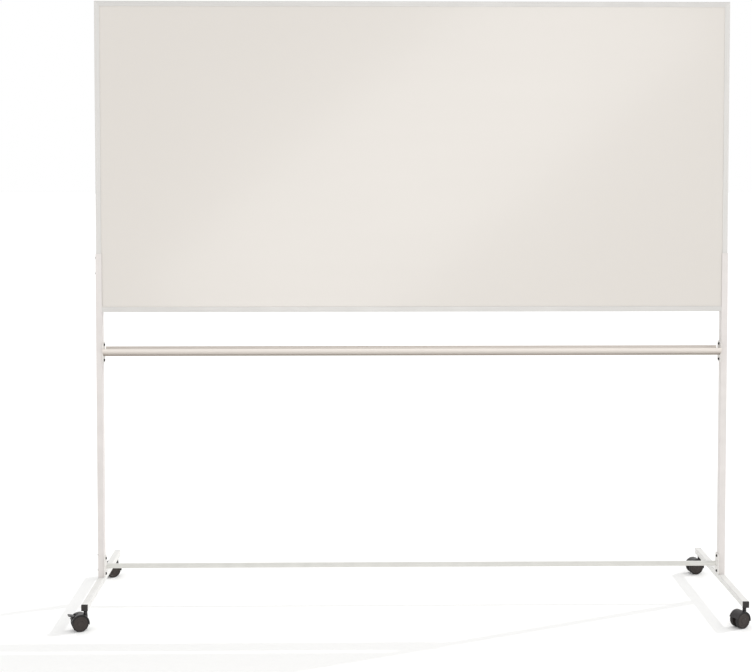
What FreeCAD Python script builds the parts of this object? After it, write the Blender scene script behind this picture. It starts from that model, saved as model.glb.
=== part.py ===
import FreeCAD, Part
import math
import os

os.makedirs("parts", exist_ok=True)

# Rolling whiteboard, millimetres. X runs along the board, Y away from its front face, Z up.
# The origin is on the floor, in the middle of the stand.

# Board
board_width = 2044.0
board_height = 1000.0
board_bottom = 948.0
core_thickness = 23.0
sheet_thickness = 0.5
panel_clearance = 0.1
frame_lip = 1.2
frame_face = 16.5
frame_wall = 1.5
frame_chamber = 5.5
frame_edge_radius = 1.2
chamber_side = 1.9
key_leg = 40.0
key_clearance = 0.1

# Posts, feet and spigots
post_width = 20.0
post_wall = 1.5
post_corner = 2.0
post_top_above_board_bottom = 189.0
side_clearance = 0.25
face_clearance = 0.2
foot_length = 600.0
foot_wall = 1.5
foot_corner = 2.0
spigot_length = 90.0
spigot_wall = 3.0
spigot_clearance = 0.2
plug_head = 3.0
plug_depth = 7.0
plug_wall = 2.0
plug_clearance = 0.1
plug_edge_radius = 1.0

# Screws
screw_diameter = 6.0
screw_head_diameter = 10.0
screw_head_height = 3.6
screw_socket = 4.0
screw_socket_depth = 2.2
screw_hole_clearance = 0.3
thread_clearance = 0.05
board_screw_length = 8.0
joint_screw_length = 12.0
screw_top_below_post_top = 14.0
screw_pitch = 50.0
nut_bar_thickness = 4.5
nut_bar_width = 20.0
nut_bar_end = 15.0

# End plates shared by the crossbar and the pen tray
plate_height = 67.0
plate_overhang = 5.0
plate_thickness = 3.0
plate_corner = 8.0

# Crossbar
crossbar_diameter = 16.0
crossbar_wall = 1.5
crossbar_above_foot = 33.0
weld_leg = 3.0
outer_screw_above_inner = 12.0

# Pen tray
tray_plate_below_board = 132.0
tray_depth = 70.0
tray_rim_above_plate_middle = 14.0
tray_drop = 19.0
tray_corner = 18.0
tray_wall = 1.8
tray_rim_bead = 2.2
channel_diameter = 7.6
channel_spacing = 20.0
channel_slot = 2.0
channel_below_floor = 2.0
end_screw_diameter = 4.0
end_screw_length = 16.0
end_screw_head = 7.5
end_screw_head_height = 2.0

# Casters
wheel_diameter = 50.0
wheel_width = 12.0
wheel_gap = 12.0
tread_thickness = 3.0
tread_radius = 2.0
web_clearance = 0.5
trail = 18.0
caster_inset = 15.0
axle_diameter = 6.0
axle_clearance = 0.06
axle_end_gap = 0.8
wheel_cap = 2.6
hub_radius = 8.0
rim_thickness = 2.6
dish_depth = 1.4
hood_gap = 1.2
hood_thickness = 2.0
hood_trailing_angle = 18.0
hood_leading_angle = 190.0
hood_edge_radius = 1.0
web_below_axle = 6.0
web_hub_radius = 9.0
socket_above_hood = 3.0
neck_length = 6.8
collar_gap = 0.3
collar_diameter = 12.0
stem_diameter = 8.0
stem_below_axle = 2.0
stem_clearance = 0.06
thread_length = 16.0
insert_diameter = 13.0
insert_hole_clearance = 0.25
shoulder_diameter = 14.0

# Brake lever
lever_pivot_angle = 62.2
lever_pivot_inside_hood = 5.1
lever_pin_diameter = 3.0
lever_pin_clearance = 0.05
lever_slot = 6.0
lever_side_clearance = 0.4
lever_eye_radius = 3.4
lever_thickness = 4.5
lever_tip_thickness = 2.2
lever_start = 9.0
lever_reach = 27.0
lever_width = 22.0
lever_travel = 16.0
lever_rise = 16.0
lever_tread_gap = 0.5
lever_notch_clearance = 1.2
lever_notch_angle = 66.0
grip_rib = 1.0

# Where each caster trails, in degrees turned from -X towards -Y, and whether it has a brake
casters = [
    ("front_left", -1, -1, 20.0, True),
    ("front_right", 1, -1, 28.0, False),
    ("rear_left", -1, 1, 35.0, False),
    ("rear_right", 1, 1, 11.0, False),
]

# Sizes that follow from the ones above
wheel_radius = wheel_diameter / 2
wheel_start = wheel_gap / 2
web_half = wheel_start - web_clearance
hood_inner = wheel_radius + hood_gap
hood_outer = hood_inner + hood_thickness
hood_half = wheel_start + wheel_width
web_underside = wheel_radius - web_below_axle
socket_top = wheel_radius + hood_outer + socket_above_hood
stem_end = wheel_radius - stem_below_axle
lever_pivot_radius = hood_inner - lever_pivot_inside_hood
lever_pivot_reach = lever_pivot_radius * math.cos(math.radians(lever_pivot_angle))
lever_pivot_rise = lever_pivot_radius * math.sin(math.radians(lever_pivot_angle))
foot_underside = socket_top + neck_length
foot_section = post_width
caster_reach = foot_length / 2 - caster_inset
frame_depth = core_thickness + 2 * (sheet_thickness + panel_clearance + frame_lip)
chamber_half_depth = frame_depth / 2 - chamber_side
slot_floor = frame_wall + frame_chamber + frame_wall
slot_depth = core_thickness + 2 * (sheet_thickness + panel_clearance)
panel_width = board_width - 2 * slot_floor
panel_height = board_height - 2 * slot_floor
board_top = board_bottom + board_height
board_middle = board_bottom + board_height / 2
post_depth = frame_depth + 2 * (face_clearance + post_wall)
plate_depth = post_depth + 2 * plate_overhang
post_outer = board_width / 2 + side_clearance + post_wall
post_centre = post_outer - post_width / 2
post_inner = post_outer - post_width
post_bottom = foot_underside + foot_section
crossbar_height = post_bottom + crossbar_above_foot
tray_plate_height = board_bottom - tray_plate_below_board
tray_rim_height = tray_plate_height + tray_rim_above_plate_middle
post_top = board_bottom + post_top_above_board_bottom
spigot_width = post_width - 2 * (post_wall + spigot_clearance)
spigot_depth = post_depth - 2 * (post_wall + spigot_clearance)
plate_inner = post_inner - plate_thickness
screw_hole = screw_diameter + 2 * screw_hole_clearance
tapped_hole = screw_diameter + 2 * thread_clearance
board_screw_heights = [
    post_top - screw_top_below_post_top,
    post_top - screw_top_below_post_top - screw_pitch,
]
crossbar_screw_heights = [crossbar_height + screw_pitch / 2, crossbar_height - screw_pitch / 2]
spigot_screw_heights = [height + outer_screw_above_inner for height in crossbar_screw_heights]
tray_screw_heights = [tray_plate_height + screw_pitch / 2, tray_plate_height - screw_pitch / 2]
tray_underside = tray_rim_height - tray_drop
channel_height = tray_underside - channel_below_floor
channel_places = [-channel_spacing / 2, channel_spacing / 2]

AXIS_X = FreeCAD.Vector(1, 0, 0)
AXIS_Y = FreeCAD.Vector(0, 1, 0)
AXIS_Z = FreeCAD.Vector(0, 0, 1)
ORIGIN = FreeCAD.Vector(0, 0, 0)
# Cutting tools run past the surface they open by this much.
over = 1.0


def point(x, y, z):
    return FreeCAD.Vector(x, y, z)


def edges_along(solid, axis):
    """The straight edges of a solid that run along an axis."""
    found = []
    for edge in solid.Edges:
        if edge.Curve.TypeId == "Part::GeomLine":
            if abs(edge.tangentAt(edge.FirstParameter).dot(axis)) > 0.999:
                found.append(edge)
    return found


def block(low, high, rounding=0.0, axis=AXIS_Z):
    """A box between two corners, its edges along one axis rounded."""
    lo = point(min(low.x, high.x), min(low.y, high.y), min(low.z, high.z))
    hi = point(max(low.x, high.x), max(low.y, high.y), max(low.z, high.z))
    size = hi - lo
    solid = Part.makeBox(size.x, size.y, size.z, lo)
    if rounding > 0:
        solid = solid.makeFillet(rounding, edges_along(solid, axis))
    return solid


def rod(start, direction, length, diameter):
    return Part.makeCylinder(diameter / 2, length, start, direction)


def prism(corners, thickness):
    """A flat outline of points, drawn out along a vector."""
    outline = Part.makePolygon(corners + [corners[0]])
    return Part.Face(outline).extrude(thickness)


def export(node, solids):
    shape = Part.makeCompound(solids) if len(solids) > 1 else solids[0]
    shape.exportStep("parts/" + node + ".step")


def aim(solid, place, direction):
    """Move a solid drawn along +Z so that it starts at a place and points along a direction."""
    turned = solid.copy()
    turn = FreeCAD.Rotation(AXIS_Z, direction)
    turned.Placement = FreeCAD.Placement(place, turn)
    return turned


def button_screw(place, direction, length):
    """A button-head screw: place is under the head, direction runs along the shank."""
    head_radius = screw_head_diameter / 2
    dome = (head_radius**2 + screw_head_height**2) / (2 * screw_head_height)
    ball = Part.makeSphere(dome, point(0, 0, dome - screw_head_height))
    head = rod(ORIGIN, point(0, 0, -1), screw_head_height, screw_head_diameter).common(ball)
    shank = rod(ORIGIN, AXIS_Z, length, screw_diameter)
    hexagon = []
    for step in range(6):
        turn = math.radians(60 * step)
        across_corners = screw_socket / math.cos(math.radians(30))
        x = across_corners / 2 * math.cos(turn)
        y = across_corners / 2 * math.sin(turn)
        hexagon.append(point(x, y, -screw_head_height - over))
    socket = prism(hexagon, point(0, 0, screw_socket_depth + over))
    return aim(head.fuse(shank).cut(socket).removeSplitter(), place, direction)


def countersunk_screw(place, direction):
    """A countersunk screw: place is the middle of its flat head."""
    head = Part.makeCone(end_screw_head / 2, end_screw_diameter / 2, end_screw_head_height)
    shank = rod(ORIGIN, AXIS_Z, end_screw_length, end_screw_diameter)
    slot_half = end_screw_head * 0.3
    slot = block(point(-slot_half, -0.5, -over), point(slot_half, 0.5, 1.0))
    cross = slot.fuse(block(point(-0.5, -slot_half, -over), point(0.5, slot_half, 1.0)))
    return aim(head.fuse(shank).cut(cross).removeSplitter(), place, direction)


# The board: a light core, two enamelled sheets and a mitred frame


def panel_layer(near, far):
    bottom = board_bottom + slot_floor
    low = point(-panel_width / 2, near, bottom)
    return block(low, point(panel_width / 2, far, bottom + panel_height))


core_half = core_thickness / 2
sheet_outside = core_half + sheet_thickness
export("board_core", [panel_layer(-core_half, core_half)])
export("writing_sheet_front", [panel_layer(-sheet_outside, -core_half)])
export("writing_sheet_back", [panel_layer(core_half, sheet_outside)])


def frame_member(length):
    """An extrusion lying along X with its outer face down at z = 0, its ends mitred."""
    half = length / 2
    deep = frame_depth / 2
    outside = Part.makeBox(length, frame_depth, frame_face, point(-half, -deep, 0))
    rounded = [e for e in edges_along(outside, AXIS_X) if e.BoundBox.ZMax < frame_face / 2]
    bar = outside.makeFillet(frame_edge_radius, rounded)
    chamber_low = point(-half - over, -chamber_half_depth, frame_wall)
    chamber_high = point(half + over, chamber_half_depth, frame_wall + frame_chamber)
    slot_low = point(-half - over, -slot_depth / 2, slot_floor)
    slot_high = point(half + over, slot_depth / 2, frame_face + over)
    bar = bar.cut(block(chamber_low, chamber_high)).cut(block(slot_low, slot_high))
    near = -deep - over
    outline = [
        point(-half, near, 0),
        point(half, near, 0),
        point(half - frame_face, near, frame_face),
        point(-half + frame_face, near, frame_face),
    ]
    return bar.common(prism(outline, point(0, frame_depth + 2 * over, 0)))


def set_member(length, quarter_turns, place):
    member = frame_member(length)
    member.rotate(ORIGIN, AXIS_Y, 90 * quarter_turns)
    member.translate(place)
    return member


export("frame_bottom", [set_member(board_width, 0, point(0, 0, board_bottom))])
export("frame_top", [set_member(board_width, 2, point(0, 0, board_top))])
for side, name, turns in [(-1, "frame_left", 1), (1, "frame_right", -1)]:
    member = set_member(board_height, turns, point(side * board_width / 2, 0, board_middle))
    for height in board_screw_heights:
        start = point(side * (board_width / 2 + over), 0, height)
        member = member.cut(rod(start, point(-side, 0, 0), frame_wall + 2 * over, screw_hole))
    export(name, [member])


def corner_key(side, up):
    """An angle key in the chambers of one mitred corner."""
    corner_x = side * (board_width / 2 - frame_wall)
    corner_z = board_middle + up * (board_height / 2 - frame_wall)
    deep = chamber_half_depth - key_clearance
    thick = frame_chamber - key_clearance
    along = block(
        point(corner_x, -deep, corner_z),
        point(corner_x - side * key_leg, deep, corner_z - up * thick),
    )
    upright = block(
        point(corner_x, -deep, corner_z),
        point(corner_x - side * thick, deep, corner_z - up * key_leg),
    )
    return along.fuse(upright).removeSplitter()


export("frame_corner_keys", [corner_key(side, up) for side in (-1, 1) for up in (-1, 1)])


def nut_bar(side, outer_face, heights):
    """A bar tapped for two screws, flat against the inside of a wall."""
    low = point(side * outer_face, -nut_bar_width / 2, min(heights) - nut_bar_end)
    high_x = side * (outer_face - nut_bar_thickness)
    bar = block(low, point(high_x, nut_bar_width / 2, max(heights) + nut_bar_end))
    for height in heights:
        start = point(side * (outer_face + over), 0, height)
        bar = bar.cut(
            rod(start, point(-side, 0, 0), nut_bar_thickness + 2 * over, tapped_hole)
        )
    return bar


board_bars = []
board_screws = []
for side in (-1, 1):
    board_bars.append(nut_bar(side, board_width / 2 - frame_wall, board_screw_heights))
    for height in board_screw_heights:
        place = point(side * post_outer, 0, height)
        board_screws.append(button_screw(place, point(-side, 0, 0), board_screw_length))
export("board_nut_bars", board_bars)
export("board_screws", board_screws)


# The stand


def post(side):
    """A rectangular tube whose inner wall is cut away where it holds the board."""
    half = post_depth / 2
    inside = half - post_wall
    outer_x = side * post_outer
    inner_x = side * post_inner
    wall = side * post_wall
    solid = block(point(inner_x, -half, post_bottom), point(outer_x, half, post_top), post_corner)
    bore = block(
        point(inner_x + wall, -inside, post_bottom - over),
        point(outer_x - wall, inside, post_top + over),
        post_corner - post_wall,
    )
    mouth = block(
        point(inner_x - side * over, -inside, board_bottom),
        point(side * post_centre, inside, post_top + over),
    )
    solid = solid.cut(bore).cut(mouth)
    inward = point(-side, 0, 0)
    for height in board_screw_heights + spigot_screw_heights:
        start = point(outer_x + side * over, 0, height)
        solid = solid.cut(rod(start, inward, post_wall + 2 * over, screw_hole))
    for height in crossbar_screw_heights + tray_screw_heights:
        start = point(inner_x + side * (post_wall + over), 0, height)
        solid = solid.cut(rod(start, inward, post_wall + 2 * over, screw_hole))
    return solid


def spigot(side):
    """The thick tube welded upright on the foot, which the post slides over."""
    x_half = spigot_width / 2
    y_half = spigot_depth / 2
    centre = side * post_centre
    top = post_bottom + spigot_length
    corner = 1.0
    solid = block(
        point(centre - x_half, -y_half, post_bottom), point(centre + x_half, y_half, top), corner
    )
    bore = block(
        point(centre - x_half + spigot_wall, -y_half + spigot_wall, post_bottom - over),
        point(centre + x_half - spigot_wall, y_half - spigot_wall, top + over),
    )
    solid = solid.cut(bore)
    for height in spigot_screw_heights:
        start = point(centre, 0, height)
        solid = solid.cut(rod(start, point(side, 0, 0), x_half + over, tapped_hole))
    for height in crossbar_screw_heights:
        start = point(centre, 0, height)
        solid = solid.cut(rod(start, point(-side, 0, 0), x_half + over, tapped_hole))
    return solid


def foot(side):
    centre = side * post_centre
    half = foot_section / 2
    inside = half - foot_wall
    end = foot_length / 2
    low = foot_underside
    solid = block(
        point(centre - half, -end, low),
        point(centre + half, end, low + foot_section),
        foot_corner,
        AXIS_Y,
    )
    bore = block(
        point(centre - inside, -end - over, low + foot_wall),
        point(centre + inside, end + over, low + foot_section - foot_wall),
        foot_corner - foot_wall,
        AXIS_Y,
    )
    solid = solid.cut(bore)
    hole = stem_diameter + 2 * insert_hole_clearance
    for end_side in (-1, 1):
        start = point(centre, end_side * caster_reach, low - over)
        solid = solid.cut(rod(start, AXIS_Z, foot_wall + 2 * over, hole))
    return solid


def foot_plug(side, end_side):
    """A plastic plug with a flat head and a hollow shank pushed into the foot's end."""
    centre = side * post_centre
    half = foot_section / 2
    middle = foot_underside + half
    end = end_side * foot_length / 2
    head = block(
        point(centre - half, end, middle - half),
        point(centre + half, end + end_side * plug_head, middle + half),
    )
    outer_y = end + end_side * plug_head
    front = [e for e in head.Edges if abs(e.BoundBox.Center.y - outer_y) < 0.01]
    head = head.makeFillet(plug_edge_radius, front + edges_along(head, AXIS_Y))
    fit = half - foot_wall - plug_clearance
    shank = block(
        point(centre - fit, end, middle - fit),
        point(centre + fit, end - end_side * plug_depth, middle + fit),
        foot_corner - foot_wall + plug_clearance,
        AXIS_Y,
    )
    core = fit - plug_wall
    hollow = block(
        point(centre - core, end, middle - core),
        point(centre + core, end - end_side * (plug_depth + over), middle + core),
    )
    return head.fuse(shank.cut(hollow)).removeSplitter()


def caster_insert(side, end_side):
    """The threaded bush inside the foot that takes a caster's stem."""
    low = foot_underside + foot_wall
    height = foot_section - 2 * foot_wall
    place = point(side * post_centre, end_side * caster_reach, low)
    bush = rod(place, AXIS_Z, height, insert_diameter)
    start = point(place.x, place.y, low - over)
    return bush.cut(rod(start, AXIS_Z, height - over, stem_diameter + 2 * thread_clearance))


def end_plate(side, height):
    """The rounded plate that closes a rail and is screwed to the post's inner face."""
    half = plate_depth / 2
    low = point(side * plate_inner, -half, height - plate_height / 2)
    high = point(side * post_inner, half, height + plate_height / 2)
    plate = block(low, high, plate_corner, AXIS_X)
    for offset in (-screw_pitch / 2, screw_pitch / 2):
        start = point(side * (plate_inner - over), 0, height + offset)
        bore = rod(start, point(side, 0, 0), plate_thickness + 2 * over, screw_hole)
        plate = plate.cut(bore)
    return plate


def crossbar_plate(side):
    """An end plate with the round bar's fillet weld on it."""
    plate = end_plate(side, crossbar_height)
    place = point(side * plate_inner, 0, crossbar_height)
    inward = point(-side, 0, 0)
    radius = crossbar_diameter / 2
    weld = Part.makeCone(radius + weld_leg, radius, weld_leg, place, inward)
    return plate.fuse(weld.cut(rod(place, inward, weld_leg + over, crossbar_diameter)))


def tray_plate(side):
    """An end plate countersunk from the post's side for the tray's end screws."""
    plate = end_plate(side, tray_plate_height)
    inward = point(-side, 0, 0)
    gap = screw_hole_clearance
    for place_y in channel_places:
        place = point(side * post_inner, place_y, channel_height)
        sink = Part.makeCone(
            end_screw_head / 2 + gap,
            end_screw_diameter / 2 + gap,
            end_screw_head_height,
            place,
            inward,
        )
        bore = rod(place, inward, plate_thickness + over, end_screw_diameter + 2 * gap)
        plate = plate.cut(sink).cut(bore)
    return plate


def tray_outline(inset, top):
    """Half-closed gutter outline in the YZ plane, drawn out between the end plates."""
    half = tray_depth / 2 - inset
    low = tray_underside + inset
    length = 2 * plate_inner
    solid = block(point(-length / 2, -half, low), point(length / 2, half, top))
    corners = [e for e in edges_along(solid, AXIS_X) if e.BoundBox.ZMax < low + over]
    return solid.makeFillet(tray_corner - inset, corners)


def pen_tray():
    """The extruded gutter, with beaded rims and two screw channels under its floor."""
    gutter = tray_outline(0, tray_rim_height)
    length = 2 * plate_inner
    west = point(-plate_inner, 0, 0)
    rims = []
    for end_side in (-1, 1):
        rim_y = end_side * (tray_depth / 2 - tray_rim_bead / 2)
        rims.append(rod(point(west.x, rim_y, tray_rim_height), AXIS_X, length, tray_rim_bead))
    for place_y in channel_places:
        place = point(west.x, place_y, channel_height)
        gutter = gutter.fuse(rod(place, AXIS_X, length, channel_diameter))
    trough = tray_outline(tray_wall, tray_rim_height + tray_drop)
    gutter = gutter.cut(trough).fuse(rims)
    bore_diameter = end_screw_diameter + 2 * thread_clearance
    for place_y in channel_places:
        start = point(west.x - over, place_y, channel_height)
        gutter = gutter.cut(rod(start, AXIS_X, length + 2 * over, bore_diameter))
        slot = block(
            point(start.x, place_y - channel_slot / 2, channel_height),
            point(-start.x, place_y + channel_slot / 2, channel_height - channel_diameter),
        )
        gutter = gutter.cut(slot)
    return gutter.removeSplitter()


spigot_screws = []
crossbar_screws = []
tray_screws = []
tray_end_screws = []
tray_bars = []
plugs = []
inserts = []
for side, name in [(-1, "left"), (1, "right")]:
    export("post_" + name, [post(side)])
    export("spigot_" + name, [spigot(side)])
    export("foot_" + name, [foot(side)])
    export("crossbar_plate_" + name, [crossbar_plate(side)])
    export("tray_plate_" + name, [tray_plate(side)])
    inward = point(-side, 0, 0)
    outward = point(side, 0, 0)
    for height in spigot_screw_heights:
        place = point(side * post_outer, 0, height)
        spigot_screws.append(button_screw(place, inward, joint_screw_length))
    for height in crossbar_screw_heights:
        place = point(side * plate_inner, 0, height)
        crossbar_screws.append(button_screw(place, outward, joint_screw_length))
    for height in tray_screw_heights:
        place = point(side * plate_inner, 0, height)
        tray_screws.append(button_screw(place, outward, joint_screw_length))
    for place_y in channel_places:
        place = point(side * post_inner, place_y, channel_height)
        tray_end_screws.append(countersunk_screw(place, inward))
    bar = nut_bar(-side, -(post_inner + post_wall), tray_screw_heights)
    tray_bars.append(bar)
    for end_side in (-1, 1):
        plugs.append(foot_plug(side, end_side))
        inserts.append(caster_insert(side, end_side))

bar_bore = rod(
    point(-plate_inner - over, 0, crossbar_height),
    AXIS_X,
    2 * (plate_inner + over),
    crossbar_diameter - 2 * crossbar_wall,
)
crossbar = rod(
    point(-plate_inner, 0, crossbar_height), AXIS_X, 2 * plate_inner, crossbar_diameter
)
export("crossbar", [crossbar.cut(bar_bore)])
export("pen_tray", [pen_tray()])
export("spigot_screws", spigot_screws)
export("crossbar_screws", crossbar_screws)
export("tray_screws", tray_screws)
export("tray_end_screws", tray_end_screws)
export("tray_nut_bars", tray_bars)
export("foot_end_plugs", plugs)
export("caster_inserts", inserts)


# Casters. Each is drawn with its stem on the Z axis, trailing along +X, its axle along Y.

axle_place = point(trail, 0, wheel_radius)
pivot_place = point(trail + lever_pivot_reach, 0, wheel_radius + lever_pivot_rise)


def across(centre, diameter, half_width):
    """A round bar along Y through a centre."""
    start = point(centre.x, -half_width, centre.z)
    return rod(start, AXIS_Y, 2 * half_width, diameter)


def revolve_about_axle(profile, angle=360.0):
    face = Part.Face(profile)
    return face.revolve(axle_place, AXIS_Y, angle)


def hood_shell():
    """The curved cover over both wheels, its long edges rounded."""
    low = point(trail + hood_inner, -hood_half, wheel_radius)
    outline = [
        low,
        low + point(hood_thickness, 0, 0),
        low + point(hood_thickness, 2 * hood_half, 0),
        low + point(0, 2 * hood_half, 0),
    ]
    bar = Part.Face(Part.makePolygon(outline + [low]))
    shell = bar.revolve(axle_place, point(0, -1, 0), hood_leading_angle - hood_trailing_angle)
    shell.rotate(axle_place, point(0, -1, 0), hood_trailing_angle)
    rims = []
    for edge in shell.Edges:
        if edge.Curve.TypeId == "Part::GeomCircle" and edge.Curve.Radius > hood_outer - 0.01:
            rims.append(edge)
    return shell.makeFillet(hood_edge_radius, rims)


def housing(braked):
    """The moulded hood, its web between the wheels and the stem's socket."""
    web = across(axle_place, 2 * (hood_inner + hood_thickness / 2), web_half)
    reach = trail + 2 * hood_outer
    below = block(point(-reach, -hood_half, -reach), point(reach, hood_half, web_underside))
    web_end = pivot_place.x + lever_eye_radius + lever_notch_clearance
    trailing = block(point(web_end, -hood_half, -reach), point(reach, hood_half, reach))
    web = web.cut(below).cut(trailing)
    web = web.fuse(across(axle_place, 2 * web_hub_radius, web_half))
    socket = rod(point(0, 0, web_underside), AXIS_Z, socket_top - web_underside, 2 * web_half)
    shoulder_top = wheel_radius + hood_outer
    shoulder = Part.makeCone(
        shoulder_diameter / 2,
        web_half,
        socket_top - wheel_radius - hood_inner / 2,
        point(0, 0, wheel_radius + hood_inner / 2),
    )
    inside = across(axle_place, 2 * hood_inner, hood_half)
    shoulder = shoulder.cut(inside)
    body = hood_shell().fuse([web, socket, shoulder])
    stem_bore = stem_diameter + 2 * stem_clearance
    body = body.cut(rod(point(0, 0, stem_end), AXIS_Z, shoulder_top, stem_bore))
    body = body.cut(across(axle_place, axle_diameter + 2 * thread_clearance, hood_half))
    if braked:
        slot_half = lever_slot / 2
        slot_low = wheel_radius + lever_pivot_rise - lever_eye_radius - 2 * lever_notch_clearance
        slot_back = pivot_place.x - lever_eye_radius - lever_notch_clearance
        slot = block(
            point(slot_back, -slot_half, slot_low), point(reach, slot_half, 2 * hood_outer)
        )
        notch_half = lever_width / 2 + lever_notch_clearance
        notch_reach = 2 * hood_outer
        start = math.radians(lever_notch_angle)
        notch_tip = point(
            trail + notch_reach * math.cos(start), -notch_half,
            wheel_radius + notch_reach * math.sin(start),
        )
        notch = prism(
            [
                point(trail, -notch_half, wheel_radius),
                point(trail + notch_reach, -notch_half, wheel_radius),
                notch_tip,
            ],
            point(0, 2 * notch_half, 0),
        )
        keep = across(axle_place, 2 * hood_inner, 2 * hood_half)
        body = body.cut(slot).cut(notch.cut(keep))
        pin_hole = lever_pin_diameter + 2 * thread_clearance
        body = body.cut(across(pivot_place, pin_hole, hood_half))
    return body.removeSplitter()


def wheel_ring(corners):
    """A solid of revolution from (distance out along the axle, radius) corners."""
    outline = []
    for out, radius in corners:
        outline.append(point(trail + radius, wheel_start + out, wheel_radius))
    return revolve_about_axle(Part.makePolygon(outline + [outline[0]]))


def wheel_body(side):
    """A dished disc with a blind hub and a rim, its closed face outwards."""
    rim_outer = wheel_radius - tread_thickness
    rim_inner = rim_outer - rim_thickness
    bore = axle_diameter / 2 + axle_clearance
    face = wheel_width - dish_depth / 2
    floor = face - wheel_cap
    inner_face = web_clearance
    corners = [
        (inner_face, bore),
        (floor, bore),
        (floor, 0),
        (face, 0),
        (face, hub_radius),
        (face - dish_depth, hub_radius + dish_depth),
        (face - dish_depth, rim_inner - dish_depth),
        (face, rim_inner),
        (face, rim_outer),
        (inner_face, rim_outer),
        (inner_face, rim_inner),
        (floor - dish_depth, rim_inner),
        (floor - dish_depth, hub_radius),
        (inner_face, hub_radius),
    ]
    wheel = wheel_ring(corners)
    return wheel if side > 0 else wheel.mirror(ORIGIN, AXIS_Y)


def tread(side):
    """The soft tread around a wheel, its shoulders rounded."""
    inner = wheel_radius - tread_thickness
    band = wheel_ring(
        [(0, inner), (wheel_width, inner), (wheel_width, wheel_radius), (0, wheel_radius)]
    )
    shoulders = []
    for edge in band.Edges:
        if edge.Curve.TypeId == "Part::GeomCircle" and edge.Curve.Radius > wheel_radius - 0.01:
            shoulders.append(edge)
    band = band.makeFillet(tread_radius, shoulders)
    return band if side > 0 else band.mirror(ORIGIN, AXIS_Y)


def brake_lever():
    """The pedal: an arm on the pin, and a ribbed pad whose curve closes on both treads."""
    arm_half = lever_slot / 2 - lever_side_clearance
    pad_half = lever_width / 2
    root_half = lever_thickness / 2
    tip_half = lever_tip_thickness / 2
    near = point(pivot_place.x, -pad_half, pivot_place.z)
    wedge = prism(
        [
            near + point(0, 0, -root_half),
            near + point(lever_reach, 0, -tip_half),
            near + point(lever_reach, 0, tip_half),
            near + point(0, 0, root_half),
        ],
        point(0, lever_width, 0),
    )
    pad_start = pivot_place.x + lever_start
    arm = block(
        point(pivot_place.x, -arm_half, pivot_place.z - lever_thickness),
        point(pad_start + over, arm_half, pivot_place.z + lever_thickness),
    )
    pad = block(
        point(pad_start, -pad_half, pivot_place.z - lever_thickness),
        point(pivot_place.x + lever_reach, pad_half, pivot_place.z + lever_thickness),
    )
    tip = [e for e in edges_along(pad, AXIS_Z) if e.BoundBox.XMin > pad_start + over]
    pad = pad.makeFillet(lever_width / 4, tip)
    eye = across(pivot_place, 2 * lever_eye_radius, arm_half)
    lever = eye.fuse([wedge.common(arm), wedge.common(pad)])
    for step in range(3):
        along = lever_start + lever_reach / 4 + 2 * grip_rib * step
        top = root_half + (tip_half - root_half) * along / lever_reach
        rib_place = pivot_place + point(along, 0, top)
        lever = lever.fuse(across(rib_place, grip_rib, lever_width / 3))
    lever = lever.cut(
        across(pivot_place, lever_pin_diameter + 2 * lever_pin_clearance, lever_width)
    )
    lever.rotate(pivot_place, AXIS_Y, -lever_rise)
    # The pad is curved so that it just clears the treads when it is pressed right down.
    for share in (0.0, 0.5, 1.0):
        sweep = across(axle_place, wheel_diameter + 2 * lever_tread_gap, lever_width)
        sweep = sweep.cut(across(axle_place, 2 * wheel_diameter, arm_half + over))
        sweep.rotate(pivot_place, AXIS_Y, -lever_travel * share)
        lever = lever.cut(sweep)
    return lever.removeSplitter()


def caster_stem():
    """The steel stem: a pin in the housing, a collar under the foot and a thread into it."""
    pin = rod(point(0, 0, stem_end + 2 * stem_clearance), AXIS_Z, foot_underside, stem_diameter)
    pin = pin.common(rod(ORIGIN, AXIS_Z, foot_underside, collar_diameter))
    collar_low = socket_top + collar_gap
    collar = rod(point(0, 0, collar_low), AXIS_Z, foot_underside - collar_low, collar_diameter)
    thread = rod(point(0, 0, foot_underside), AXIS_Z, thread_length, stem_diameter)
    return pin.fuse([collar, thread]).removeSplitter()


def placed(solid, side, end_side, angle):
    turned = solid.copy()
    turned.rotate(ORIGIN, AXIS_Z, 180.0 + angle)
    turned.translate(point(side * post_centre, end_side * caster_reach, 0))
    return turned


axle_half = wheel_start + wheel_width - dish_depth / 2 - wheel_cap - axle_end_gap
stems = []
for name, side, end_side, angle, braked in casters:
    prefix = "caster_" + name + "_"
    pieces = {
        "housing": housing(braked),
        "axle": across(axle_place, axle_diameter, axle_half),
        "wheel_a": wheel_body(1),
        "wheel_b": wheel_body(-1),
        "tread_a": tread(1),
        "tread_b": tread(-1),
    }
    if braked:
        pieces["brake_lever"] = brake_lever()
        pieces["brake_pin"] = across(pivot_place, lever_pin_diameter, web_half)
    for piece, solid in pieces.items():
        export(prefix + piece, [placed(solid, side, end_side, angle)])
    stems.append(placed(caster_stem(), side, end_side, angle))
export("caster_stems", stems)
print("nodes", len(os.listdir("parts")))
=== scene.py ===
# %% [markdown]
# # A rolling whiteboard
# A wide enamelled board stands between two painted steel posts on wheeled feet. The shapes of the
# real pieces come ready made as the frame, and stay as they are. This file gives each piece its
# finish and sets up the studio. It starts by loading the frame and keeping its box, because the
# looks mustn't outgrow it.

# %% Load the frame
import math

import bpy
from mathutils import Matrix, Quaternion, Vector


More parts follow.
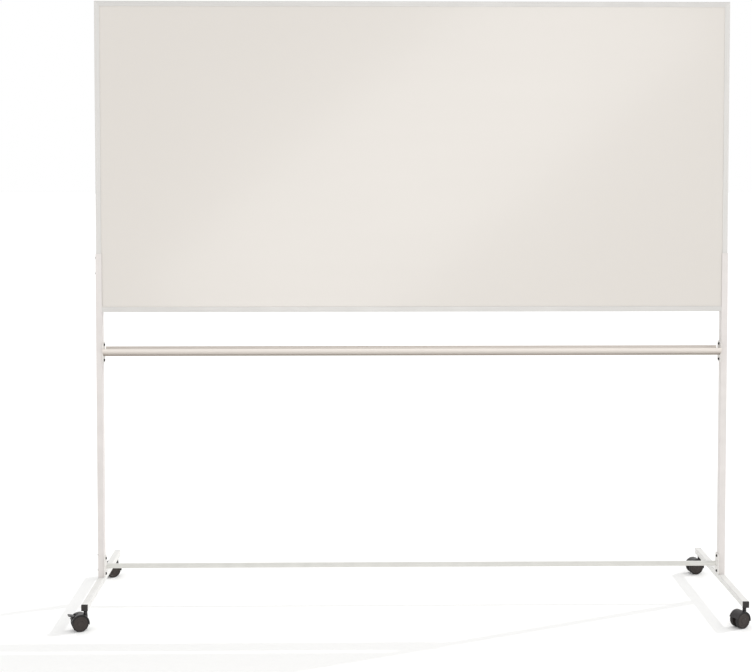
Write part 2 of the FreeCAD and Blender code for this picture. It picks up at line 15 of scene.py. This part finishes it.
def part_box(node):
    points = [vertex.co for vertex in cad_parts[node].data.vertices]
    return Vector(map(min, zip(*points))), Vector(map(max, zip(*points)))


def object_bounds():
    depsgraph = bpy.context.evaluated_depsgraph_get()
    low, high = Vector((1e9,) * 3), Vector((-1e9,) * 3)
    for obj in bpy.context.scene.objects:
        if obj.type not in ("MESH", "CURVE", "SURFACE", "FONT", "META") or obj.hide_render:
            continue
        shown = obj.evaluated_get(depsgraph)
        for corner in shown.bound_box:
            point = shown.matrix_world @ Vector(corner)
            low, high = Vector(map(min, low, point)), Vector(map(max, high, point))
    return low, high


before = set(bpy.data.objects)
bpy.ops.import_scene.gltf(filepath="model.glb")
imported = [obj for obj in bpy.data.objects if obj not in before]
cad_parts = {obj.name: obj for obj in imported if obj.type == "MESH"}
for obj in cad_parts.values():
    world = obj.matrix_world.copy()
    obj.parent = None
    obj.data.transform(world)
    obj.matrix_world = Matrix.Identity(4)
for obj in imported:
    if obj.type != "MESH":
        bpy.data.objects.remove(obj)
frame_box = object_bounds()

print("nodes", len(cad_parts), "box", [[round(v, 4) for v in corner] for corner in frame_box])

# %% [markdown]
# ## Colour
# A paint chip is read as an sRGB hex value, but the renderer adds up light. So each value is
# turned to linear first, or every colour would come out too pale.

# %% Colour
def linear(hex_colour):
    """An sRGB hex colour such as "#D9D6D2" as linear RGBA."""
    channels = []
    for start in (1, 3, 5):
        value = int(hex_colour[start : start + 2], 16) / 255
        low = value <= 0.04045
        channels.append(value / 12.92 if low else ((value + 0.055) / 1.055) ** 2.4)
    return (*channels, 1.0)


print("mid grey #808080 is", [round(value, 3) for value in linear("#808080")])

# %% [markdown]
# ## Nodes
# Every finish is a small graph of nodes. One helper adds a node, sets its options and fills each
# input with a number or with a link from another node's output. A second one starts a material
# from a single shader, because every finish here begins that way.

# %% Nodes
def add(tree, kind, inputs=None, **options):
    """Add one node with its options, and fill or link its inputs."""
    made = tree.nodes.new(kind)
    for name, value in options.items():
        setattr(made, name, value)
    for name, value in (inputs or {}).items():
        socket = made.inputs[name]
        if isinstance(value, bpy.types.NodeSocket):
            tree.links.new(value, socket)
        else:
            socket.default_value = value
    return made


def start_material(name, **shader_values):
    """A material with one Principled shader, its uniform values on the shader's own sockets."""
    material = bpy.data.materials.new(name)
    material.use_nodes = True
    tree = material.node_tree
    tree.nodes.clear()
    shader = add(tree, "ShaderNodeBsdfPrincipled", shader_values)
    add(tree, "ShaderNodeOutputMaterial", {"Surface": shader.outputs["BSDF"]})
    return material, tree, shader


# %% [markdown]
# ## Patterns
# No real surface has one flat value all over. A soft noise, sized in millimetres, varies a
# finish's colour and gloss and gives it a fine relief. It reads the object's own coordinates, so
# the pattern is fixed to the piece and turns with it.

# %% Patterns
MM = 0.001


def grain(tree, size_mm, stretch=(1, 1, 1), detail=2.0, roughness=0.5):
    """Noise on object coordinates whose blobs measure about size_mm, stretched along axes."""
    place = add(tree, "ShaderNodeTexCoord").outputs["Object"]
    scale = [1 / (size_mm * MM * s) for s in stretch]
    mapped = add(tree, "ShaderNodeMapping", {"Vector": place, "Scale": scale})
    settings = {
        "Vector": mapped.outputs["Vector"],
        "Scale": 1.0,
        "Detail": detail,
        "Roughness": roughness,
    }
    return add(tree, "ShaderNodeTexNoise", settings).outputs["Fac"]


def spread(tree, factor, low, high, inside=(0.3, 0.7)):
    """Map a noise factor onto a range of values."""
    settings = {
        "Value": factor,
        "From Min": inside[0],
        "From Max": inside[1],
        "To Min": low,
        "To Max": high,
    }
    return add(tree, "ShaderNodeMapRange", settings).outputs["Result"]


def tint(tree, factor, colour_a, colour_b, inside=(0.3, 0.7)):
    """Blend two hex colours by a noise factor."""
    ramp = add(tree, "ShaderNodeValToRGB", {"Fac": factor})
    for stop, colour, place in zip(ramp.color_ramp.elements, (colour_a, colour_b), inside):
        stop.color = linear(colour)
        stop.position = place
    return ramp.outputs["Color"]


def relief(tree, shader, height, depth_mm, strength=1.0):
    """Let a height pattern raise the surface by a real depth."""
    settings = {"Height": height, "Distance": depth_mm * MM, "Strength": strength}
    bump = add(tree, "ShaderNodeBump", settings)
    tree.links.new(bump.outputs["Normal"], shader.inputs["Normal"])


# %% [markdown]
# ## Putting a finish on a piece
# A real piece brings its own material slots. Filling those slots changes its finish and leaves
# its shape alone.

# %% Putting a finish on a piece
def dress(material, *node_names):
    """Give CAD nodes a material by assigning to their slots."""
    for name in node_names:
        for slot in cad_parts[name].material_slots:
            slot.material = material
    print(material.name, "on", ", ".join(node_names))


# %% [markdown]
# ## Fired enamel
# The writing sheets are steel with a coat of glass enamel fired on. It is a warm white and glossy,
# so it picks up a soft broad reflection of the room. The firing leaves the faintest unevenness of
# tone over an arm's length, and a fine orange peel. That peel is 1 mm across on the real sheet and
# is drawn at 5 mm, so that it shows. Dry wiping leaves long shallow streaks that only show in how
# the gloss breaks up.

# %% Fired enamel
def fired_enamel():
    values = {"IOR": 1.5, "Coat Weight": 0.25, "Coat Roughness": 0.12}
    material, tree, shader = start_material("Vitreous_enamel_fired_white", **values)
    mottle = grain(tree, 700, detail=1)
    tree.links.new(tint(tree, mottle, "#CCC7C1", "#CDC8C2"), shader.inputs["Base Color"])
    wiped = grain(tree, 30, stretch=(14, 1, 1), detail=4)
    tree.links.new(spread(tree, wiped, 0.29, 0.32), shader.inputs["Roughness"])
    relief(tree, shader, grain(tree, 5, detail=1), 0.03, strength=0.25)
    return material


dress(fired_enamel(), "writing_sheet_front", "writing_sheet_back")

# %% [markdown]
# ## Anodised extrusions
# The frame is aluminium pushed through a die, then etched and anodised. The die leaves fine lines
# along the bar, so the noise is drawn out many times longer along the bar than across it. A
# standing bar needs the stretch along Z and a lying one along X, so one function takes the
# direction. Metal keeps its default IOR, and its colour is the colour of its reflection. The
# thick satin film scatters light over the metal, so it is mixed as part film and part metal. The
# tray's colour follows its height as painted shade: pale at the rim and darker down to the
# underside, standing in for the shade on its rounded lower face.

# %% Anodised extrusions
ALONG_X = (120, 1, 1)
ALONG_Z = (1, 1, 120)
DIE_LINE_MM = 1.6
SATIN_FILM = 0.35  # metallic: the rest is film
FRAME_ROUGHNESS = (0.44, 0.52)


def anodised(name, colour_a, colour_b, direction):
    material, tree, shader = start_material(name, Metallic=SATIN_FILM)
    lines = grain(tree, DIE_LINE_MM, stretch=direction, detail=3, roughness=0.6)
    tree.links.new(tint(tree, lines, colour_a, colour_b), shader.inputs["Base Color"])
    cloud = grain(tree, 60, detail=2)
    tree.links.new(spread(tree, cloud, *FRAME_ROUGHNESS), shader.inputs["Roughness"])
    relief(tree, shader, lines, 0.02, strength=0.3)
    return material


dress(
    anodised("Anodised_aluminium_lying_bar", "#C0BEBB", "#C9C7C4", ALONG_X),
    "frame_top",
    "frame_bottom",
)
dress(
    anodised("Anodised_aluminium_standing_bar", "#C5C3C0", "#CECCC9", ALONG_Z),
    "frame_left",
    "frame_right",
)


def tray_with_painted_shade():
    """Anodised like the frame, with painted shade: darker from the rim down to the underside."""
    material, tree, shader = start_material("Anodised_aluminium_tray_painted_shade", Metallic=SATIN_FILM)
    place = add(tree, "ShaderNodeTexCoord").outputs["Object"]
    height = add(tree, "ShaderNodeSeparateXYZ", {"Vector": place}).outputs["Z"]
    low, high = (corner.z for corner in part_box("pen_tray"))
    # Painted shade: by height alone, the colour runs from pale at the rim to dark at the
    # underside.
    painted_shade_by_height = spread(tree, height, 0.0, 1.0, (low, high))
    colour = tint(tree, painted_shade_by_height, "#988F86", "#DAD3CC", inside=(0.15, 0.7))
    tree.links.new(colour, shader.inputs["Base Color"])
    lines = grain(tree, DIE_LINE_MM, stretch=ALONG_X, detail=3, roughness=0.6)
    tree.links.new(spread(tree, lines, 0.4, 0.52), shader.inputs["Roughness"])
    relief(tree, shader, lines, 0.02, strength=0.3)
    return material


dress(tray_with_painted_shade(), "pen_tray")

# %% [markdown]
# ## Powder coat
# The posts, feet, crossbar and end plates are sprayed with charged powder and baked. The film
# levels out into small soft bumps a millimetre or two across, and is half glossy. Posts, feet,
# plates and the round crossbar differ a little in tone, so each group has its own two colours.

# %% Powder coat
def powder_coat(name, colour_a, colour_b):
    values = {"IOR": 1.48, "Coat Weight": 0.1, "Coat Roughness": 0.3}
    material, tree, shader = start_material(name, **values)
    cloud = grain(tree, 45, detail=3)
    tree.links.new(tint(tree, cloud, colour_a, colour_b), shader.inputs["Base Color"])
    peel = grain(tree, 2.2, detail=1)
    tree.links.new(spread(tree, peel, 0.4, 0.52), shader.inputs["Roughness"])
    relief(tree, shader, peel, 0.06, strength=0.5)
    return material


dress(
    powder_coat("Powder_coated_steel_warm_grey", "#CFCAC7", "#D5D0CD"),
    "post_left",
    "post_right",
)
dress(powder_coat("Powder_coated_steel_feet", "#D6D5D2", "#DEDDDA"), "foot_left", "foot_right")
dress(
    powder_coat("Powder_coated_steel_plates", "#D4D1CD", "#DCD9D5"),
    "tray_plate_left",
    "tray_plate_right",
    "crossbar_plate_left",
    "crossbar_plate_right",
)
dress(powder_coat("Powder_coated_steel_crossbar", "#C8C7C2", "#CFCEC9"), "crossbar")

# %% [markdown]
# ## Plated and blackened steel
# Hidden fittings and axles are zinc plated: a pale grey metal with fine turning marks. The socket
# screws and the casters' stems are dipped in hot oxide salts, which leaves a black film with a
# dull sheen.

# %% Plated and blackened steel
def plated_steel():
    material, tree, shader = start_material("Zinc_plated_steel_turned", Metallic=1.0)
    marks = grain(tree, 0.8, stretch=(1, 1, 0.25), detail=2)
    tree.links.new(tint(tree, marks, "#A9ABAD", "#C2C4C6"), shader.inputs["Base Color"])
    tree.links.new(spread(tree, marks, 0.28, 0.42), shader.inputs["Roughness"])
    relief(tree, shader, marks, 0.01, strength=0.3)
    return material


def black_oxide():
    material, tree, shader = start_material("Black_oxide_steel_dipped", Metallic=0.6)
    film = grain(tree, 1.5, detail=3)
    tree.links.new(tint(tree, film, "#141313", "#242220"), shader.inputs["Base Color"])
    tree.links.new(spread(tree, film, 0.32, 0.48), shader.inputs["Roughness"])
    relief(tree, shader, film, 0.01, strength=0.3)
    return material


dress(
    plated_steel(),
    "frame_corner_keys",
    "board_nut_bars",
    "tray_nut_bars",
    "tray_end_screws",
    "spigot_left",
    "spigot_right",
    "caster_inserts",
)
dress(
    black_oxide(),
    "board_screws",
    "spigot_screws",
    "crossbar_screws",
    "tray_screws",
    "caster_stems",
)

# %% [markdown]
# ## Paper honeycomb
# The core is closed in by the sheets and the frame. It is kraft paper glued into cells, which a
# Voronoi pattern draws at their real 15 mm, so that it looks right when the board is taken apart.

# %% Paper honeycomb
def paper_honeycomb():
    material, tree, shader = start_material("Kraft_paper_honeycomb", Roughness=0.9)
    place = add(tree, "ShaderNodeTexCoord").outputs["Object"]
    cell_width = 15 * MM
    cells = add(tree, "ShaderNodeTexVoronoi", {"Vector": place, "Scale": 1 / cell_width})
    colour = tint(tree, cells.outputs["Distance"], "#8A6F4C", "#B59A72", (0.1, 0.5))
    tree.links.new(colour, shader.inputs["Base Color"])
    return material


dress(paper_honeycomb(), "board_core")

# %% [markdown]
# ## Moulded plastics and rubber
# The hoods and the brake lever are glass-filled nylon from a mould whose spark-eroded face leaves
# a fine grain. The feet's end plugs are polyethylene, and the wheels are a dark umber nylon. The
# treads are a soft thermoplastic rubber, matt where it has rolled over floors. One function takes
# the colours, the gloss and the grain size.

# %% Moulded plastics and rubber
def moulded(name, colour_a, colour_b, roughness, grain_mm, depth_mm):
    material, tree, shader = start_material(name, IOR=1.5)
    cloud = grain(tree, 12, detail=3)
    tree.links.new(tint(tree, cloud, colour_a, colour_b), shader.inputs["Base Color"])
    spark = grain(tree, grain_mm, detail=2)
    tree.links.new(spread(tree, spark, *roughness), shader.inputs["Roughness"])
    relief(tree, shader, spark, depth_mm, strength=0.5)
    return material


hood_plastic = moulded("Nylon_moulded_charcoal", "#1B1718", "#231F20", (0.26, 0.38), 0.9, 0.03)
plug_plastic = moulded("Polyethylene_moulded_brown", "#15100D", "#1D1713", (0.4, 0.5), 1.0, 0.03)
wheel_plastic = moulded("Nylon_moulded_umber_grey", "#261D18", "#2C221D", (0.42, 0.56), 1.0, 0.03)
tread_rubber = moulded("Rubber_moulded_tread", "#141211", "#1D1A19", (0.6, 0.8), 1.2, 0.06)
dress(plug_plastic, "foot_end_plugs")

# %% [markdown]
# ## The casters
# All four casters are the same product, so one loop dresses them. Only some of them have a brake
# lever and the pin that it turns on.

# %% The casters
CASTERS = ("front_left", "front_right", "rear_left", "rear_right")
BRAKED = ("front_left",)
plated = bpy.data.materials["Zinc_plated_steel_turned"]
for caster in CASTERS:
    prefix = "caster_" + caster + "_"
    dress(hood_plastic, prefix + "housing")
    dress(wheel_plastic, prefix + "wheel_a", prefix + "wheel_b")
    dress(tread_rubber, prefix + "tread_a", prefix + "tread_b")
    dress(plated, prefix + "axle")
    if caster in BRAKED:
        dress(hood_plastic, prefix + "brake_lever")
        dress(plated, prefix + "brake_pin")

# %% [markdown]
# ## The floor
# A studio sweep is plain and pale. It is much larger than the object, so that its edge never
# shows, and it has a faint unevenness so that it is a surface and not a void.

# %% The floor
def studio_floor():
    material, tree, shader = start_material("Studio_paper_floor", Roughness=0.9)
    cloud = grain(tree, 900, detail=2)
    tree.links.new(tint(tree, cloud, "#FAFAF9", "#FCFCFB"), shader.inputs["Base Color"])
    return material


FLOOR_SIZE = 120.0
bpy.ops.mesh.primitive_plane_add(size=FLOOR_SIZE, location=(0, 0, frame_box[0].z))
floor = bpy.context.active_object
floor.name = "studio_floor"
bpy.ops.object.transform_apply(location=True, rotation=True, scale=True)
floor.data.materials.append(studio_floor())
print("floor", FLOOR_SIZE, "m wide at height", floor.data.vertices[0].co.z)

# %% [markdown]
# ## Light
# A white tent all round gives an even, almost shadowless light. A long strip behind the camera,
# leaned over, leaves a soft slanting band of gloss on the enamel. A weak hard lamp high at the
# rear right draws the thin, faint shadows of the stand on the floor.

# %% Light
def softbox(name, place, aim_at, size, power, lean=0.0):
    """A rectangular area light at a place, turned to face a point and leaned about its beam."""
    data = bpy.data.lights.new(name, "AREA")
    data.shape = "RECTANGLE"
    data.size, data.size_y = size
    data.energy = power
    light = bpy.data.objects.new(name, data)
    bpy.context.collection.objects.link(light)
    beam = (Vector(aim_at) - Vector(place)).to_track_quat("-Z", "Y")
    light.rotation_mode = "QUATERNION"
    light.rotation_quaternion = beam @ Quaternion((0, 0, 1), math.radians(lean))
    light.location = place
    print(name, power, "W at", place)


STRIP_PLACE = (0.35, -6.0, 1.45)
STRIP_SIZE = (4.4, 1.4)
STRIP_POWER = 56
STRIP_LEAN = 41
board_middle = sum(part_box("board_core"), Vector()) / 2
softbox("strip_softbox", STRIP_PLACE, board_middle, STRIP_SIZE, STRIP_POWER, STRIP_LEAN)

# %% [markdown]
# ## Tent and rear lamp
# The tent is the world itself, plain white at full strength. The rear lamp is a sun whose disc is
# about as wide as the real one's, because that sets how sharp a shadow's edge is.

# %% Tent and rear lamp
world = bpy.data.worlds.new("White_tent")
world.use_nodes = True
background = world.node_tree.nodes["Background"]
background.inputs["Color"].default_value = (1.0, 1.0, 1.0, 1.0)
background.inputs["Strength"].default_value = 1.0
bpy.context.scene.world = world

LAMP_BEAM = (-1.15, -0.54, -1.0)
LAMP_DISC = 0.6
lamp_data = bpy.data.lights.new("rear_lamp", "SUN")
lamp_data.energy = 1.0
lamp_data.angle = math.radians(LAMP_DISC)
lamp = bpy.data.objects.new("rear_lamp", lamp_data)
bpy.context.collection.objects.link(lamp)
lamp.rotation_mode = "QUATERNION"
lamp.rotation_quaternion = Vector(LAMP_BEAM).to_track_quat("-Z", "Y")
print("rear lamp beam", LAMP_BEAM, "disc", LAMP_DISC, "degrees")

# %% [markdown]
# ## Camera
# The camera stands about four and a half metres in front, a little left of the middle, at the
# height of a standing person's eye. It tips down slightly, and the lens is shifted down as on a
# view camera, so that the verticals stay close to parallel.

# %% Camera
IMAGE_WIDTH = 752
FOCAL_WIDTHS = 1415 / IMAGE_WIDTH
SHIFT_DOWN = 0.15
EYE = (-0.191, -4.579, 1.433)
TIP_DOWN = 2.48
TURN_RIGHT = 0.9
camera_data = bpy.data.cameras.new("camera")
camera_data.sensor_width = 36.0
camera_data.lens = FOCAL_WIDTHS * camera_data.sensor_width
camera_data.shift_y = -SHIFT_DOWN
camera = bpy.data.objects.new("camera", camera_data)
bpy.context.collection.objects.link(camera)
camera.location = EYE
camera.rotation_euler = (math.radians(90 - TIP_DOWN), 0, math.radians(-TURN_RIGHT))
bpy.context.scene.camera = camera
print("lens", round(camera_data.lens, 2), "mm at", EYE)
bpy.context.scene.view_settings.view_transform = "Standard"
bpy.context.scene.view_settings.look = "None"
